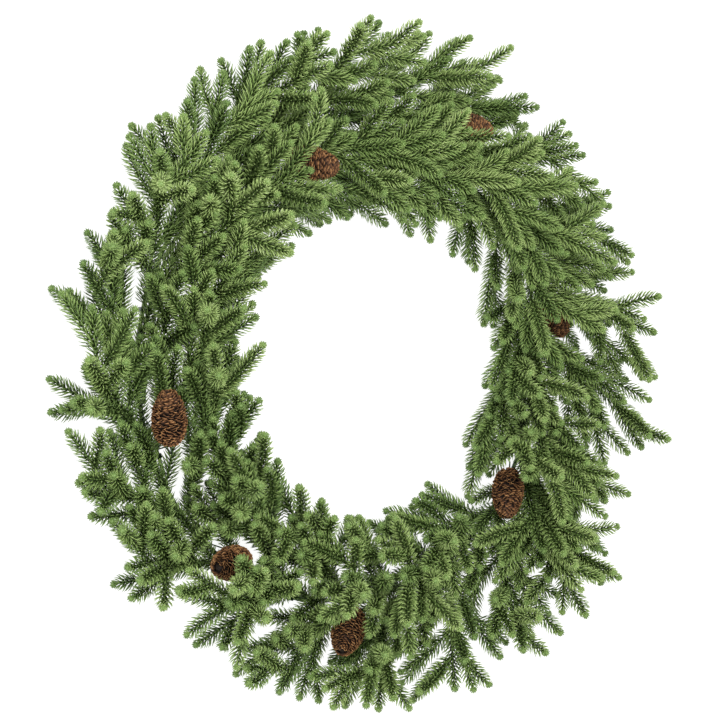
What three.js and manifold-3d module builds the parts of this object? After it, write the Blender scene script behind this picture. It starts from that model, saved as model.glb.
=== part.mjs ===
// A fresh evergreen wreath, lying face up on a table. Millimetres, +Z up.
//
// Bunches of spruce tips are held on a steel clamp ring. Each clamp grips the cut stems of two sprays, and
// every spray runs clockwise from its clamp and fans out, so that the sprays overlap like shingles. Pine
// cones stand on wires that lead down to the ring. The ring lies flat on the table, +Y is the wreath's top
// and +Z its front. The origin is on the table, under the middle of the whole wreath.

import * as THREE from "three";
import { mergeVertices } from "three/addons/utils/BufferGeometryUtils.js";
import Module from "manifold-3d";

const wasm = await Module();
wasm.setup();

// --- Driving dimensions -----------------------------------------------------------------------------------

const RING_RADIUS = 262; // to the middle of the ring's wire
const RING_WIRE = 5; // across the flats
const RING_SEGMENTS = 30;
const CLAMPS = 21; // each grips two sprays
const CLAMP_STRAP = 1.2; // thickness of the strap that is bent over the stems
const CLAMP_WIDTH = 5; // along the ring
const CLAMP_SLIT = 1.6; // between the strap's two ends, on top
const FIT_GAP = 0.3; // between pieces that touch

const STEM_RADIUS = 2.2;
const STEM_TAIL = 20; // cut stem that shows behind the clamp
const STEM_LEAD = 6; // straight stem in front of the clamp's middle

const SHOOT_RADIUS = 2.8; // twig and the needles' bases round it
const SHOOT_FOOT = 1.2; // its radius where it leaves the stem
const BUD_RADIUS = 4.4; // tight cluster of new needles at each tip
const BUD_LENGTH = 9;
const NEEDLE_LENGTH = 16;
const NEEDLE_RADIUS = 0.9;
const NEEDLE_SWEEP = 40; // degrees between needle and twig
const NEEDLE_SPACING = 75; // along each shoot
const NEEDLE_TURN = 137.5; // degrees round the shoot from one needle to the next
const NEEDLE_RETRY = 45; // degrees that a needle is turned further where it would meet something

const CONE_LENGTH = 58;
const CONE_RADIUS = 20;
const CONE_WIRE = 1.6; // thickness

// How sprays leave the ring. Roll turns from outward (0) over the front (90) to inward (180), and the spray
// starts at one angle to the ring and bends to another. Sprays at other rolls lie between these three.
const OUTWARD = { start: 20, end: 46, length: 164 };
const FRONT = { start: 34, end: 50, length: 186 };
const INWARD = { start: 42, end: 54, length: 162 };
const OUTER_ROLL = 16; // least roll of the outer spray at each clamp
const INNER_ROLL = 92; // and of the inner one
const ROLL_RANGE = 72; // above either, spread by the golden ratio from clamp to clamp
const GOLDEN = 0.618034;
const ROLL_LIMIT = 12; // nothing leaves the ring lower than this

const SIDE_SHOOTS = 7;
const SIDE_FIRST = 0.12; // where side shoots leave their stem, in shares of its length
const SIDE_RANGE = 0.62;
const SIDE_LENGTH = 125; // for one at the stem's foot
const SIDE_SHORTER = 55; // less for one at its tip
const SIDE_ANGLE = 22; // degrees between side shoot and stem
const SIDE_TILT = 0.7; // how far the side shoots' layer leans with the spray's roll

// Chance: most degrees either way, what each further try adds to them, and shares of the length.
const STEM_CHANCE = { roll: 8, further: 1.5, start: 4, end: 5, length: 0.1 };
const SIDE_CHANCE = { open: 10, openFurther: 1, lift: 14, liftFurther: 2, length: 0.12 };
const STEM_STEPS = 3;
const STEM_TRIES = 30;
const SIDE_TRIES = 14;
const SEED = 273;

// Radii round middle lines that are no longer free, and the room that a new middle line needs beyond them.
const RING_TAKES = 6.5;
const RING_TAKES_AT = 6; // height of that room's middle, between the wire and the stems on it
const WIRE_TAKES = 2.5;
const CONE_TAKES = CONE_RADIUS + 3;
const SHOOT_TAKES = 4.5;
const NEEDLE_TAKES = 2.2;
const SHOOT_ROOM = 4.8;
const NEEDLE_ROOM = 1.2;
const NEEDLE_LOW = 1; // least height of a needle's tip
const REACH = { inner: 158, outer: 378, low: 7, high: 162 }; // of the shoots' middle lines

// Where the cones stand: clock is the angle round the ring and heading the way the cone's tip points, both
// anticlockwise from +X. Clear is the radius kept free in front of a cone that isn't overgrown.
const CONES = [
  { clock: 191, radius: 272, height: 84, heading: 98, rise: 12, clear: 26 },
  { clock: 113, radius: 234, height: 76, heading: -8, rise: 22, clear: 12 },
  { clock: 63, radius: 302, height: 46, heading: -5, rise: 5, clear: 0 },
  { clock: 13, radius: 263, height: 46, heading: -56, rise: 5, clear: 0 },
  { clock: -40, radius: 226, height: 70, heading: -104, rise: 12, clear: 14 },
  { clock: 262, radius: 290, height: 66, heading: 232, rise: 25, clear: 8 },
  { clock: 229, radius: 274, height: 56, heading: 186, rise: 30, clear: 0 },
];

// --- Chance, places and lines -----------------------------------------------------------------------------

const UP = new THREE.Vector3(0, 0, 1);
const degrees = THREE.MathUtils.degToRad;
const cosine = (angle) => Math.cos(degrees(angle));
const sine = (angle) => Math.sin(degrees(angle));

let state = SEED;
function draw() {
  state = (state * 48271) % 2147483647;
  return state / 2147483647;
}
const spread = (amount) => amount * (2 * draw() - 1);

// One place on the ring, with the directions outward from its centre and clockwise along it.
function placeOnRing(clock) {
  const outward = new THREE.Vector3(Math.cos(clock), Math.sin(clock), 0);
  const along = new THREE.Vector3(Math.sin(clock), -Math.cos(clock), 0);
  return { outward, along, at: outward.clone().multiplyScalar(RING_RADIUS) };
}

const clampClock = (number) => Math.PI / 2 - ((number + 0.5) * 2 * Math.PI) / CLAMPS;

// The point at a distance along a line of points, and the line's heading there.
function pointAlong(points, distance) {
  let left = distance;
  for (let i = 1; i < points.length; i++) {
    const heading = points[i].clone().sub(points[i - 1]);
    const step = heading.length();
    heading.divideScalar(step);
    if (left <= step || i === points.length - 1)
      return { at: points[i - 1].clone().addScaledVector(heading, left), heading };
    left -= step;
  }
}

const lengthOf = (points) => points.slice(1).reduce((sum, point, i) => sum + point.distanceTo(points[i]), 0);

// Two directions across a line, the same all along it so that a bent piece isn't twisted.
function across(points) {
  const chord = points[points.length - 1].clone().sub(points[0]).normalize();
  const reference = Math.abs(chord.z) < 0.9 ? UP : new THREE.Vector3(1, 0, 0);
  const u = new THREE.Vector3().crossVectors(chord, reference).normalize();
  return { u, v: new THREE.Vector3().crossVectors(u, chord) };
}

// --- Solids -----------------------------------------------------------------------------------------------

// A closed geometry as a solid that can be joined and cut.
function solid(geometry) {
  const bare = geometry.index ? geometry.toNonIndexed() : geometry.clone();
  bare.deleteAttribute("normal");
  bare.deleteAttribute("uv");
  const merged = mergeVertices(bare, 1e-4);
  const mesh = new wasm.Mesh({
    numProp: 3,
    vertProperties: merged.attributes.position.array,
    triVerts: new Uint32Array(merged.index.array),
  });
  return new wasm.Manifold(mesh);
}

// Pieces joined to one body, with any loose scrap dropped.
function fused(pieces) {
  const joined = pieces.reduce((whole, piece) => whole.add(piece));
  return joined.decompose().reduce((a, b) => (a.volume() > b.volume() ? a : b));
}

function meshOf(name, body, material) {
  const made = body.getMesh();
  const geometry = new THREE.BufferGeometry();
  geometry.setAttribute("position", new THREE.BufferAttribute(made.vertProperties, made.numProp));
  geometry.setIndex(new THREE.BufferAttribute(made.triVerts, 1));
  geometry.computeVertexNormals();
  const mesh = new THREE.Mesh(geometry, material);
  mesh.name = name;
  return mesh;
}

// A turned piece bent along a line. The profile's rows are [distance along the line, radius].
function bentAlong(points, profile, sides) {
  const rows = profile.map(([distance, radius]) => new THREE.Vector2(radius, distance));
  const geometry = new THREE.LatheGeometry(rows, sides);
  const { u, v } = across(points);
  const place = geometry.attributes.position;
  for (let i = 0; i < place.count; i++) {
    const { at } = pointAlong(points, place.getY(i));
    at.addScaledVector(u, place.getX(i)).addScaledVector(v, place.getZ(i));
    place.setXYZ(i, at.x, at.y, at.z);
  }
  return solid(geometry);
}

// --- Steel clamp ring -------------------------------------------------------------------------------------

const clampFloor = RING_WIRE - CLAMP_STRAP / 2; // the strap is welded half its thickness into the ring
const stemHeight = clampFloor + CLAMP_STRAP + FIT_GAP + STEM_RADIUS;
const stemOffset = STEM_RADIUS + 2 * FIT_GAP; // of each clamp's two stems, from the ring's middle line

function ringWire() {
  const half = RING_WIRE / 2;
  const corner = half * Math.tan(Math.PI / 8);
  const section = [
    [half, -corner],
    [half, corner],
    [corner, half],
    [-corner, half],
    [-half, corner],
    [-half, -corner],
    [-corner, -half],
    [corner, -half],
    [half, -corner],
  ].map(([x, y]) => new THREE.Vector2(RING_RADIUS + x, half + y));
  const ring = new THREE.LatheGeometry(section, RING_SEGMENTS);
  ring.rotateX(Math.PI / 2);
  ring.rotateZ(Math.PI / RING_SEGMENTS); // a flat, not a corner, at the wreath's top
  return solid(ring);
}

// A strap bent to a C round two stems, its ends nearly meeting on top.
function clamp(clock) {
  const wide = 2 * STEM_RADIUS + 3 * FIT_GAP + CLAMP_STRAP;
  const tall = 2 * STEM_RADIUS + 2 * FIT_GAP + 2 * CLAMP_STRAP;
  const slit = CLAMP_SLIT / 2;
  const inner = wide - CLAMP_STRAP;
  const outline = [
    [slit, tall],
    [slit, tall - CLAMP_STRAP],
    [inner, tall - CLAMP_STRAP],
    [inner, CLAMP_STRAP],
    [-inner, CLAMP_STRAP],
    [-inner, tall - CLAMP_STRAP],
    [-slit, tall - CLAMP_STRAP],
    [-slit, tall],
    [-wide, tall],
    [-wide, 0],
    [wide, 0],
    [wide, tall],
  ].map(([x, y]) => new THREE.Vector2(x, y));
  const strap = new THREE.ExtrudeGeometry(new THREE.Shape(outline), {
    depth: CLAMP_WIDTH,
    bevelEnabled: false,
  });
  const { outward, along, at } = placeOnRing(clock);
  const turn = new THREE.Matrix4().makeBasis(outward, UP, along);
  strap.translate(0, clampFloor, -CLAMP_WIDTH / 2);
  strap.applyMatrix4(turn.setPosition(at));
  return solid(strap);
}

function clampRing() {
  const clamps = Array.from({ length: CLAMPS }, (_, number) => clamp(clampClock(number)));
  return fused([ringWire(), ...clamps]);
}

// --- Room for what grows: points with the radius that is taken round them -------------------------------

const taken = [];
const take = (at, radius, owner) => taken.push({ at, radius, owner });

function takeLine(line, radius, owner) {
  const length = lengthOf(line);
  const count = Math.ceil(length / 6);
  for (let k = 0; k <= count; k++) take(pointAlong(line, (length * k) / count).at, radius, owner);
}

// The least distance from the points to what is taken, leaving out what one owner has taken.
function room(points, owner) {
  let least = Infinity;
  for (const point of points)
    for (const other of taken)
      if (other.owner !== owner) least = Math.min(least, point.distanceTo(other.at) - other.radius);
  return least;
}

// --- Pine cones and their wires ---------------------------------------------------------------------------

// A line from the cone's stalk end to its tip.
function coneAxis({ clock, radius, height, heading, rise }) {
  const middle = placeOnRing(degrees(clock)).outward.multiplyScalar(radius).setZ(height);
  const flat = cosine(rise);
  const way = new THREE.Vector3(flat * cosine(heading), flat * sine(heading), sine(rise));
  const half = CONE_LENGTH / 2;
  return [middle.clone().addScaledVector(way, -half), middle.clone().addScaledVector(way, half)];
}

// An egg shape whose corners stand out and in by turns, as the tips of the scales do.
function cone(axis) {
  const rings = 7;
  const corners = 10;
  const relief = 0.13;
  const profile = [new THREE.Vector2(0, 0)];
  for (let k = 0; k < rings; k++) {
    const share = (k + 0.5) / rings;
    const radius = CONE_RADIUS * Math.sin(Math.PI * share ** 0.8) ** 0.6;
    profile.push(new THREE.Vector2(radius, share * CONE_LENGTH));
  }
  profile.push(new THREE.Vector2(0, CONE_LENGTH));
  const geometry = new THREE.LatheGeometry(profile, corners);
  const place = geometry.attributes.position;
  for (let i = 0; i < place.count; i++) {
    const row = i % profile.length;
    const column = Math.floor(i / profile.length) % corners;
    const swell = 1 + ((row + column) % 2 ? relief : -relief);
    place.setX(i, place.getX(i) * swell);
    place.setZ(i, place.getZ(i) * swell);
  }
  const chord = axis[1].clone().sub(axis[0]).normalize();
  const { u, v } = across(axis);
  geometry.applyMatrix4(new THREE.Matrix4().makeBasis(u, chord, v).setPosition(axis[0]));
  return solid(geometry);
}

// The wire lies on the ring just behind a clamp's cut stems, and rises from there to the cone's stalk end.
function wireLine(axis) {
  const foot = 6; // length on the ring
  const straight = 8; // length in line with the cone
  const clearOfStems = 14;
  const behind = (STEM_TAIL + clearOfStems) / RING_RADIUS;
  const end = axis[0];
  const step = (2 * Math.PI) / CLAMPS;
  const nearest = Math.round((clampClock(0) + behind - Math.atan2(end.y, end.x)) / step);
  const place = placeOnRing(clampClock(nearest) + behind);
  const low = place.at.clone().setZ(RING_WIRE + FIT_GAP + CONE_WIRE / 3);
  const chord = axis[1].clone().sub(end).normalize();
  return [
    low.clone().addScaledVector(place.along, -foot),
    low,
    end.clone().addScaledVector(chord, -straight),
    end.clone().addScaledVector(chord, -FIT_GAP),
  ];
}

// A three-cornered wire, as slim a piece as it can be.
function wire(line) {
  const corners = [90, 210, 330].map((angle) => new THREE.Vector2(cosine(angle), sine(angle)));
  const section = new THREE.Shape(corners.map((corner) => corner.multiplyScalar(CONE_WIRE / 2)));
  const extrudePath = new THREE.CatmullRomCurve3(line);
  return solid(new THREE.ExtrudeGeometry(section, { steps: 8, bevelEnabled: false, extrudePath }));
}

// --- Sprays of spruce -------------------------------------------------------------------------------------

// The roll of each spray, and how a spray at that roll leaves the ring.
function seatOf(index) {
  const number = Math.floor(index / 2);
  const inner = index % 2;
  const part = (number * GOLDEN + inner / 2) % 1;
  const roll = (inner ? INNER_ROLL : OUTER_ROLL) + ROLL_RANGE * part;
  const [low, high] = roll < 90 ? [OUTWARD, FRONT] : [FRONT, INWARD];
  const share = (roll % 90) / 90;
  const between = (name) => low[name] + (high[name] - low[name]) * share;
  return { roll, start: between("start"), end: between("end"), length: between("length") };
}

// A line of straight steps that starts with one heading and bends evenly to another.
function grown(start, from, to, length, steps) {
  const points = [start.clone()];
  for (let k = 0; k < steps; k++) {
    const heading = from.clone().lerp(to, (k + 0.5) / steps).normalize();
    points.push(points[k].clone().addScaledVector(heading, length / steps));
  }
  return points;
}

// The direction that leaves the ring at a roll and a flare.
function headingOff({ outward, along }, roll, flare) {
  const side = outward.clone().multiplyScalar(cosine(roll)).addScaledVector(UP, sine(roll));
  return along.clone().multiplyScalar(cosine(flare)).addScaledVector(side, sine(flare));
}

function withinReach(points) {
  return points.every((point) => {
    const radius = Math.hypot(point.x, point.y);
    return radius >= REACH.inner && radius <= REACH.outer && point.z >= REACH.low && point.z < REACH.high;
  });
}

// Points every 10 mm or so along a line.
function samples(line) {
  const length = lengthOf(line);
  const count = Math.round(length / 10);
  return Array.from({ length: count + 1 }, (_, k) => pointAlong(line, (length * k) / count).at);
}

// Of several places for a line, the one with the most room. Its first samples may be near what it grows from.
function freest(propose, tries, owner, clearFrom) {
  let best = null;
  for (let attempt = 0; attempt < tries; attempt++) {
    const line = propose(attempt);
    const points = samples(line);
    const free = points.slice(clearFrom);
    if (!withinReach(free) || room(free, owner) < SHOOT_ROOM) continue;
    const space = room(points.slice(3), null);
    if (!best || space > best.space) best = { line, space };
  }
  if (best) samples(best.line).forEach((point) => take(point, SHOOT_TAKES, owner));
  return best && best.line;
}

// A spray's stem, which ends in a shoot of its own.
function growStem(index) {
  const place = placeOnRing(clampClock(Math.floor(index / 2)));
  const seat = seatOf(index);
  const aside = index % 2 ? -stemOffset : stemOffset;
  const gripped = place.at.clone().addScaledVector(place.outward, aside).setZ(stemHeight);
  const leave = gripped.clone().addScaledVector(place.along, STEM_LEAD);
  const propose = (attempt) => {
    const wanted = seat.roll + spread(STEM_CHANCE.roll + STEM_CHANCE.further * attempt);
    const roll = Math.min(180 - ROLL_LIMIT, Math.max(ROLL_LIMIT, wanted));
    const from = headingOff(place, roll, seat.start + spread(STEM_CHANCE.start));
    const to = headingOff(place, roll, seat.end + spread(STEM_CHANCE.end));
    return grown(leave, from, to, seat.length * (1 + spread(STEM_CHANCE.length)), STEM_STEPS);
  };
  const stem = freest(propose, STEM_TRIES, index, 3);
  return { place, seat, gripped, stem, sides: [] };
}

// A side shoot, left and right by turns, in the layer that the spray forms on the wreath.
function growSide({ stem, place, seat, sides }, index, number) {
  const share = SIDE_FIRST + (SIDE_RANGE * number) / (SIDE_SHOOTS - 1);
  const { at, heading } = pointAlong(stem, share * lengthOf(stem));
  const face = headingOff(place, seat.roll, 90).multiplyScalar(SIDE_TILT).add(UP).normalize();
  const sideways = new THREE.Vector3().crossVectors(face, heading).normalize();
  if ((number + index) % 2 === 0) sideways.negate();
  const leaning = (open, lift) => {
    const way = heading.clone().multiplyScalar(cosine(open)).addScaledVector(sideways, sine(open));
    return way.addScaledVector(face, sine(lift)).normalize();
  };
  const propose = (attempt) => {
    const open = SIDE_ANGLE + spread(SIDE_CHANCE.open + SIDE_CHANCE.openFurther * attempt);
    const lift = spread(SIDE_CHANCE.lift + SIDE_CHANCE.liftFurther * attempt);
    const length = (SIDE_LENGTH - SIDE_SHORTER * share) * (1 + spread(SIDE_CHANCE.length));
    return [at, at.clone().addScaledVector(leaning(open, lift), length)];
  };
  const shoot = freest(propose, SIDE_TRIES, index, 2);
  if (shoot) sides.push(shoot);
}

// A slim core bent along a line: the twig with the bases of its needles, a neck, and the bud cluster.
function core(line, footRows) {
  const length = lengthOf(line);
  const bends = line.slice(footRows.length - 1, -1);
  const rows = [
    ...footRows,
    ...bends.map((_, i) => [lengthOf(line.slice(0, footRows.length + i)), SHOOT_RADIUS]),
    [length - BUD_LENGTH, 0.75 * SHOOT_RADIUS],
    [length - BUD_LENGTH / 2, BUD_RADIUS],
    [length, 0],
  ];
  return bentAlong(line, rows, 3);
}

function stemCore({ gripped, place, stem }) {
  const tail = gripped.clone().addScaledVector(place.along, -STEM_TAIL);
  return core([tail, ...stem], [[0, 0], [0, STEM_RADIUS], [STEM_TAIL + STEM_LEAD, STEM_RADIUS]]);
}

const sideCore = (line) => core(line, [[0, 0], [0, SHOOT_FOOT]]);

function needle(at, way) {
  const cone = new THREE.ConeGeometry(NEEDLE_RADIUS, NEEDLE_LENGTH, 3);
  cone.translate(0, NEEDLE_LENGTH / 2, 0);
  cone.applyQuaternion(new THREE.Quaternion().setFromUnitVectors(new THREE.Vector3(0, 1, 0), way));
  cone.translate(at.x, at.y, at.z);
  return solid(cone);
}

// Needles leave a shoot's middle line, swept towards its tip and set round it by the golden angle. One that
// would meet another spray is turned further round the shoot, and is left out where it never comes clear.
function needles(points, owner, shoot) {
  const made = [];
  const { u, v } = across(points);
  const length = lengthOf(points);
  const count = Math.round(length / NEEDLE_SPACING);
  for (let k = 0; k < count; k++) {
    const { at, heading } = pointAlong(points, ((k + 0.75) / count) * length);
    for (let turned = 0; turned < 360; turned += NEEDLE_RETRY) {
      const turn = NEEDLE_TURN * (k + 3 * shoot) + turned;
      const aside = u.clone().multiplyScalar(cosine(turn)).addScaledVector(v, sine(turn));
      const way = heading.clone().multiplyScalar(cosine(NEEDLE_SWEEP));
      way.addScaledVector(aside, sine(NEEDLE_SWEEP)).normalize();
      const tip = at.clone().addScaledVector(way, NEEDLE_LENGTH);
      const line = [0.25, 0.5, 0.75, 1].map((part) => at.clone().lerp(tip, part));
      if (tip.z < NEEDLE_LOW || room(line, owner) < NEEDLE_ROOM) continue;
      line.forEach((point) => take(point, NEEDLE_TAKES, owner));
      made.push(needle(at, way));
      break;
    }
  }
  return made;
}

function spray(parts, index) {
  const pieces = [stemCore(parts), ...parts.sides.map(sideCore)];
  [parts.stem.slice(1), ...parts.sides].forEach((line, i) => pieces.push(...needles(line, index, i)));
  return fused(pieces);
}

// --- The wreath -------------------------------------------------------------------------------------------

const ringGreen = new THREE.MeshStandardMaterial({ color: 0x1c301c, roughness: 0.45, metalness: 0.3 });
const wireGreen = new THREE.MeshStandardMaterial({ color: 0x21381f, roughness: 0.5, metalness: 0.3 });
const needleGreen = new THREE.MeshStandardMaterial({ color: 0x5b7a41, roughness: 0.65, metalness: 0 });
const coneBrown = new THREE.MeshStandardMaterial({ color: 0x7a4a2c, roughness: 0.8, metalness: 0 });

const wreath = new THREE.Group();
wreath.add(meshOf("clamp_ring", clampRing(), ringGreen));
for (let clock = 0; clock < 360; clock += 2)
  take(placeOnRing(degrees(clock)).at.setZ(RING_TAKES_AT), RING_TAKES, "ring");

CONES.forEach((spot, i) => {
  const axis = coneAxis(spot);
  const line = wireLine(axis);
  wreath.add(meshOf(`pine_cone_${i + 1}`, cone(axis), coneBrown));
  wreath.add(meshOf(`cone_wire_${i + 1}`, wire(line), wireGreen));
  takeLine(line, WIRE_TAKES, "wire");
  for (const share of [0.25, 0.5, 0.75]) {
    const inside = axis[0].clone().lerp(axis[1], share);
    take(inside, CONE_TAKES, "cone");
    if (spot.clear) take(inside.clone().addScaledVector(UP, spot.clear), spot.clear, "cone");
  }
});

const sprays = Array.from({ length: 2 * CLAMPS }, (_, index) => growStem(index));
for (let number = 0; number < SIDE_SHOOTS; number++)
  sprays.forEach((parts, index) => growSide(parts, index, number));
sprays.forEach((parts, index) => {
  const name = `spray_${String(index + 1).padStart(2, "0")}`;
  wreath.add(meshOf(name, spray(parts, index), needleGreen));
});

const size = new THREE.Box3().setFromObject(wreath);
const middle = size.getCenter(new THREE.Vector3());
wreath.position.set(-middle.x, -middle.y, 0);

export default wreath;
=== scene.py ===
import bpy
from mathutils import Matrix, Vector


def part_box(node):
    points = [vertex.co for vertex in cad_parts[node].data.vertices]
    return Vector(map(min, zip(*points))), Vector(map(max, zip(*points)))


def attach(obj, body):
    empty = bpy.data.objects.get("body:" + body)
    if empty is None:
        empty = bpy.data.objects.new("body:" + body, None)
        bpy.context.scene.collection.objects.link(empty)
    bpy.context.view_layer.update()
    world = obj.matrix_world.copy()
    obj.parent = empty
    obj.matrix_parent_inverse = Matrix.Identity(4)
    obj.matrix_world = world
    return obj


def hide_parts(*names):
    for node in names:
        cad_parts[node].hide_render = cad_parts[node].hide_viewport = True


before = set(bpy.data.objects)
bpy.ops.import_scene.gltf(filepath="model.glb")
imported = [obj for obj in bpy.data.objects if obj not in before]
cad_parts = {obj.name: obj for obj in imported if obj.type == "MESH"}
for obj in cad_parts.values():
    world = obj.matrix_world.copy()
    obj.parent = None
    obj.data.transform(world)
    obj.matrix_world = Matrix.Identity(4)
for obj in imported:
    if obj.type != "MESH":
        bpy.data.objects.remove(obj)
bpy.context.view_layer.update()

import math

import bmesh
import bpy
import numpy as np
from mathutils import Matrix, Vector

# --- Clamp ring -------------------------------------------------------------------------------------------
# A hoop of round steel wire with 21 straps of flat steel spot-welded on top of it. Each strap is bent to a C
# round the cut stems of two sprays and squeezed shut on them. Hoop and straps are dipped in green enamel.

MM = 0.001  # every size below is in millimetres, measured from the middle of the ring
RING_RADIUS = 262  # to the middle of the wire
RING_WIRE = 5
RING_STEPS = 168
CLAMPS = 21
CLAMP_STRAP = 1.2
CLAMP_WIDTH = 5
CLAMP_SLIT = 1.6
CLAMP_BEND = 0.5  # the radius of its bends
CLAMP_RIM = 0.15  # and the bevel of its cut edges
STEEL_SHARP = 50  # degrees: a steeper bend than this shows as an edge
FIT_GAP = 0.3
STEM_RADIUS = 2.2
CLAMP_WIDE = 2 * STEM_RADIUS + 3 * FIT_GAP + CLAMP_STRAP  # half of its width outside
CLAMP_TALL = 2 * STEM_RADIUS + 2 * FIT_GAP + 2 * CLAMP_STRAP
CLAMP_FLOOR = RING_WIRE - CLAMP_STRAP / 2

ring_low, ring_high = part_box("clamp_ring")
RING_MIDDLE = Vector(((ring_low[0] + ring_high[0]) / 2, ring_low[1] + (RING_RADIUS + CLAMP_WIDE) * MM, 0))


def clamp_clock(number):
    """The angle of a clamp round the ring. They are counted clockwise from the top."""
    return math.pi / 2 - (number + 0.5) * 2 * math.pi / CLAMPS


def finished(name, shape, finish, slot, *nodes):
    """Takes a mesh in millimetres to its place in the frame, as a piece that stands for CAD nodes."""
    to_frame = Matrix.Translation(RING_MIDDLE) @ Matrix.Scale(MM, 4)
    bmesh.ops.transform(shape, matrix=to_frame, verts=shape.verts)
    mesh = bpy.data.meshes.new(name)
    shape.to_mesh(mesh)
    shape.free()
    mesh.shade_smooth()
    mesh.materials.append(finish)
    piece = bpy.data.objects.new(name, mesh)
    bpy.context.scene.collection.objects.link(piece)
    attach(piece, "root")
    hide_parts(*nodes)
    return piece


def hoop(ring):
    """The wire's round section, spun into a ring that stands on the table."""
    upright = Matrix.Translation((RING_RADIUS, 0, RING_WIRE / 2)) @ Matrix.Rotation(math.pi / 2, 4, "X")
    bmesh.ops.create_circle(ring, segments=16, radius=RING_WIRE / 2, matrix=upright)
    turn = {"cent": (0, 0, 0), "axis": (0, 0, 1), "angle": 2 * math.pi, "steps": RING_STEPS}
    bmesh.ops.spin(ring, geom=ring.edges[:], use_merge=True, **turn)
    bmesh.ops.remove_doubles(ring, verts=ring.verts, dist=0.01)


def runs_across(edge):
    """How far an edge of the strap runs across its width."""
    return abs(edge.verts[0].co.y - edge.verts[1].co.y)


def clamps(ring):
    """One strap's C outline, extruded to its width with its bends and edges rounded, then repeated."""
    strap = bmesh.new()
    wide, tall, thick, slit = CLAMP_WIDE, CLAMP_TALL, CLAMP_STRAP, CLAMP_SLIT / 2
    inner, under = wide - thick, tall - thick
    right = [(slit, tall), (slit, under), (inner, under), (inner, thick)]
    left = [(-inner, thick), (-inner, under), (-slit, under), (-slit, tall)]
    outside = [(-wide, tall), (-wide, 0), (wide, 0), (wide, tall)]
    outline = strap.faces.new([strap.verts.new((x, 0, z)) for x, z in right + left + outside])
    grown_face = bmesh.ops.extrude_face_region(strap, geom=[outline])["geom"]
    far_side = [corner for corner in grown_face if isinstance(corner, bmesh.types.BMVert)]
    bmesh.ops.translate(strap, vec=(0, CLAMP_WIDTH, 0), verts=far_side)
    bends = [edge for edge in strap.edges if runs_across(edge) > 1 and abs(edge.verts[0].co.x) > slit]
    rounding = {"affect": "EDGES", "profile": 0.5, "material": -1}
    bmesh.ops.bevel(strap, geom=bends, offset=CLAMP_BEND, segments=3, **rounding)
    rims = [edge for edge in strap.edges if runs_across(edge) < 0.1 and len(edge.link_faces) == 2]
    rims = [edge for edge in rims if edge.calc_face_angle(0) > 1]
    bmesh.ops.bevel(strap, geom=rims, offset=CLAMP_RIM, segments=1, **rounding)
    bmesh.ops.recalc_face_normals(strap, faces=strap.faces)
    clock = clamp_clock(0)
    along = Matrix.Translation((RING_RADIUS, -CLAMP_WIDTH / 2, CLAMP_FLOOR))
    bmesh.ops.transform(strap, matrix=Matrix.Rotation(clock, 4, "Z") @ along, verts=strap.verts)
    step = 2 * math.pi / CLAMPS
    turn = {"cent": (0, 0, 0), "axis": (0, 0, 1), "angle": step * (CLAMPS - 1), "steps": CLAMPS - 1}
    bmesh.ops.spin(strap, geom=strap.verts[:] + strap.edges[:] + strap.faces[:], use_duplicate=True, **turn)
    all_straps = bpy.data.meshes.new("straps")
    strap.to_mesh(all_straps)
    strap.free()
    ring.from_mesh(all_straps)
    bpy.data.meshes.remove(all_straps)


def finish_of(name, roughness):
    """A new material with its nodes, its links and its shader."""
    finish = bpy.data.materials.new(name)
    finish.use_nodes = True
    tree = finish.node_tree
    shader = tree.nodes["Principled BSDF"]
    shader.inputs["Roughness"].default_value = roughness
    return finish, tree, shader


def mottle(tree, per_metre, detail=3):
    """Noise in the piece's own metres, as a factor from 0 to 1."""
    place = tree.nodes.new("ShaderNodeTexCoord")
    noise = tree.nodes.new("ShaderNodeTexNoise")
    noise.inputs["Scale"].default_value = per_metre
    noise.inputs["Detail"].default_value = detail
    tree.links.new(place.outputs["Object"], noise.inputs["Vector"])
    return noise.outputs["Fac"]


def shades(tree, factor, stops):
    """A colour that follows a factor from stop to stop. Each stop is (factor, red, green, blue)."""
    ramp = tree.nodes.new("ShaderNodeValToRGB")
    for _ in stops[2:]:
        ramp.color_ramp.elements.new(0.5)
    for element, (at, *colour) in zip(ramp.color_ramp.elements, stops):
        element.position = at
        element.color = (*colour, 1)
    tree.links.new(factor, ramp.inputs["Fac"])
    return ramp.outputs["Color"]


def raised(tree, shader, height, strength, depth):
    """Relief on the shader from a height factor."""
    bump = tree.nodes.new("ShaderNodeBump")
    bump.inputs["Strength"].default_value = strength
    bump.inputs["Distance"].default_value = depth
    tree.links.new(height, bump.inputs["Height"])
    tree.links.new(bump.outputs["Normal"], shader.inputs["Normal"])


def enamel(name, dark, light):
    """Dipped enamel: slightly uneven in tone, with the ripple of a thick coat."""
    finish, tree, shader = finish_of(name, roughness=0.34)
    tone = mottle(tree, per_metre=90)
    tree.links.new(shades(tree, tone, [(0.3, *dark), (0.75, *light)]), shader.inputs["Base Color"])
    raised(tree, shader, mottle(tree, per_metre=400), strength=0.3, depth=0.2 * MM)
    shader.inputs["Coat Weight"].default_value = 0.3
    return finish


ring = bmesh.new()
hoop(ring)
clamps(ring)
bmesh.ops.recalc_face_normals(ring, faces=ring.faces)
ring_enamel = enamel("ring_enamel", dark=(0.006, 0.022, 0.008), light=(0.014, 0.045, 0.016))
ring_piece = finished("clamp_ring_enamelled", ring, ring_enamel, "ring_steel", "clamp_ring")
ring_piece.data.set_sharp_from_angle(angle=math.radians(STEEL_SHARP))

# --- Pine cones -------------------------------------------------------------------------------------------
# Seven closed cones, each a woody core with scales that overlap towards the tip in two sets of spirals. They
# are reddish brown and dry, with paler worn rims. The dark gaps under the scales' free edges are partly
# painted
# shade: each scale turns near black towards its root, and the core inside is near black.

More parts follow.
